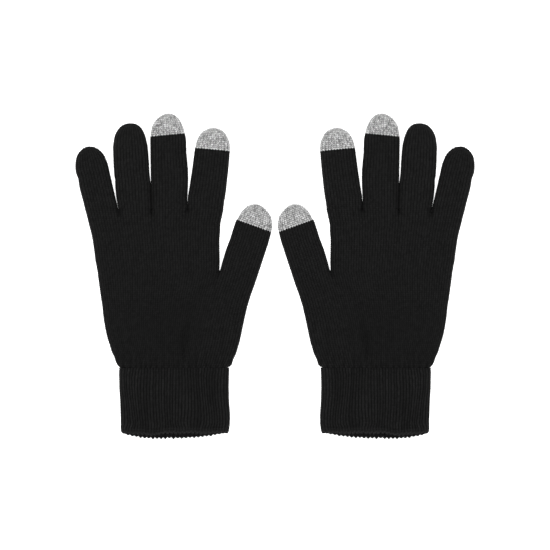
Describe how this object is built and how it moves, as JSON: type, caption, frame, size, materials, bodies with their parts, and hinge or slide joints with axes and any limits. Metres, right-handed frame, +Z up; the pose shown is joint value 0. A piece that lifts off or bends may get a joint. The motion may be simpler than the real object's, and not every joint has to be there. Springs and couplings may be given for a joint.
{
  "type": "touchscreen gloves",
  "caption": "Knitted gloves lying flat side by side, with ribbed cuffs, plain-knit hands and pale conductive tips on the thumb, index and middle fingers; every digit folds at its root.",
  "frame": {"origin": "middle of the pair, on the surface that the gloves lie on", "axes": "+X to the right of the pair, across both gloves; +Y from the cuffs to the fingertips; +Z up, away from the surface"},
  "size_m": [0.2622, 0.215, 0.0095],
  "materials": {
    "plain_knit": "plain jersey knit in matt black acrylic yarn, slightly fuzzy",
    "rib_knit": "one-by-one rib in matt black acrylic yarn",
    "edge_yarn": "matt black yarn, looped over the edge",
    "elastic_yarn": "fine covered elastic thread",
    "conductive_knit": "plain jersey knit in silver-grey conductive yarn with a faint metallic glint"
  },
  "bodies": {
    "left_hand": {"left_cuff": "rib_knit", "left_cuff_edge": "edge_yarn", "left_cuff_elastic": "elastic_yarn", "left_lower_palm": "plain_knit", "left_upper_palm": "plain_knit", "left_fork_stitches": "edge_yarn"},
    "left_index": {"left_index_finger": "plain_knit", "left_index_tip": "conductive_knit"},
    "left_middle": {"left_middle_finger": "plain_knit", "left_middle_tip": "conductive_knit"},
    "left_ring": {"left_ring_finger": "plain_knit"},
    "left_little": {"left_little_finger": "plain_knit"},
    "left_thumb": {"left_thumb": "plain_knit", "left_thumb_tip": "conductive_knit"},
    "right_hand": {"right_cuff": "rib_knit", "right_cuff_edge": "edge_yarn", "right_cuff_elastic": "elastic_yarn", "right_lower_palm": "plain_knit", "right_upper_palm": "plain_knit", "right_fork_stitches": "edge_yarn"},
    "right_index": {"right_index_finger": "plain_knit", "right_index_tip": "conductive_knit"},
    "right_middle": {"right_middle_finger": "plain_knit", "right_middle_tip": "conductive_knit"},
    "right_ring": {"right_ring_finger": "plain_knit"},
    "right_little": {"right_little_finger": "plain_knit"},
    "right_thumb": {"right_thumb": "plain_knit", "right_thumb_tip": "conductive_knit"}
  },
  "joints": [
    {"name": "right_glove_place", "type": "slide", "parent": "left_hand", "child": "right_hand", "axis": [1, 0, 0], "range_m": [0, 0.15]},
    {"name": "left_index_fold", "type": "hinge", "parent": "left_hand", "child": "left_index", "pos_m": [-0.04541, 0.04411, 0.0086], "axis": [1, 0, 0], "range_deg": [0, 90]},
    {"name": "left_middle_fold", "type": "hinge", "parent": "left_hand", "child": "left_middle", "pos_m": [-0.06916, 0.04411, 0.0086], "axis": [1, 0, 0], "range_deg": [0, 90]},
    {"name": "left_ring_fold", "type": "hinge", "parent": "left_hand", "child": "left_ring", "pos_m": [-0.09211, 0.04411, 0.0086], "axis": [1, 0, 0], "range_deg": [0, 90]},
    {"name": "left_little_fold", "type": "hinge", "parent": "left_hand", "child": "left_little", "pos_m": [-0.11406, 0.04411, 0.0086], "axis": [1, 0, 0], "range_deg": [0, 90]},
    {"name": "left_thumb_fold", "type": "hinge", "parent": "left_hand", "child": "left_thumb", "pos_m": [-0.02436, -0.00086, 0.009], "axis": [0.9483, -0.3173, 0], "range_deg": [0, 90]},
    {"name": "right_index_fold", "type": "hinge", "parent": "right_hand", "child": "right_index", "pos_m": [0.04541, 0.04411, 0.0086], "axis": [1, 0, 0], "range_deg": [0, 90]},
    {"name": "right_middle_fold", "type": "hinge", "parent": "right_hand", "child": "right_middle", "pos_m": [0.06916, 0.04411, 0.0086], "axis": [1, 0, 0], "range_deg": [0, 90]},
    {"name": "right_ring_fold", "type": "hinge", "parent": "right_hand", "child": "right_ring", "pos_m": [0.09211, 0.04411, 0.0086], "axis": [1, 0, 0], "range_deg": [0, 90]},
    {"name": "right_little_fold", "type": "hinge", "parent": "right_hand", "child": "right_little", "pos_m": [0.11406, 0.04411, 0.0086], "axis": [1, 0, 0], "range_deg": [0, 90]},
    {"name": "right_thumb_fold", "type": "hinge", "parent": "right_hand", "child": "right_thumb", "pos_m": [0.02436, -0.00086, 0.009], "axis": [0.9483, 0.3173, 0], "range_deg": [0, 90]}
  ]
}
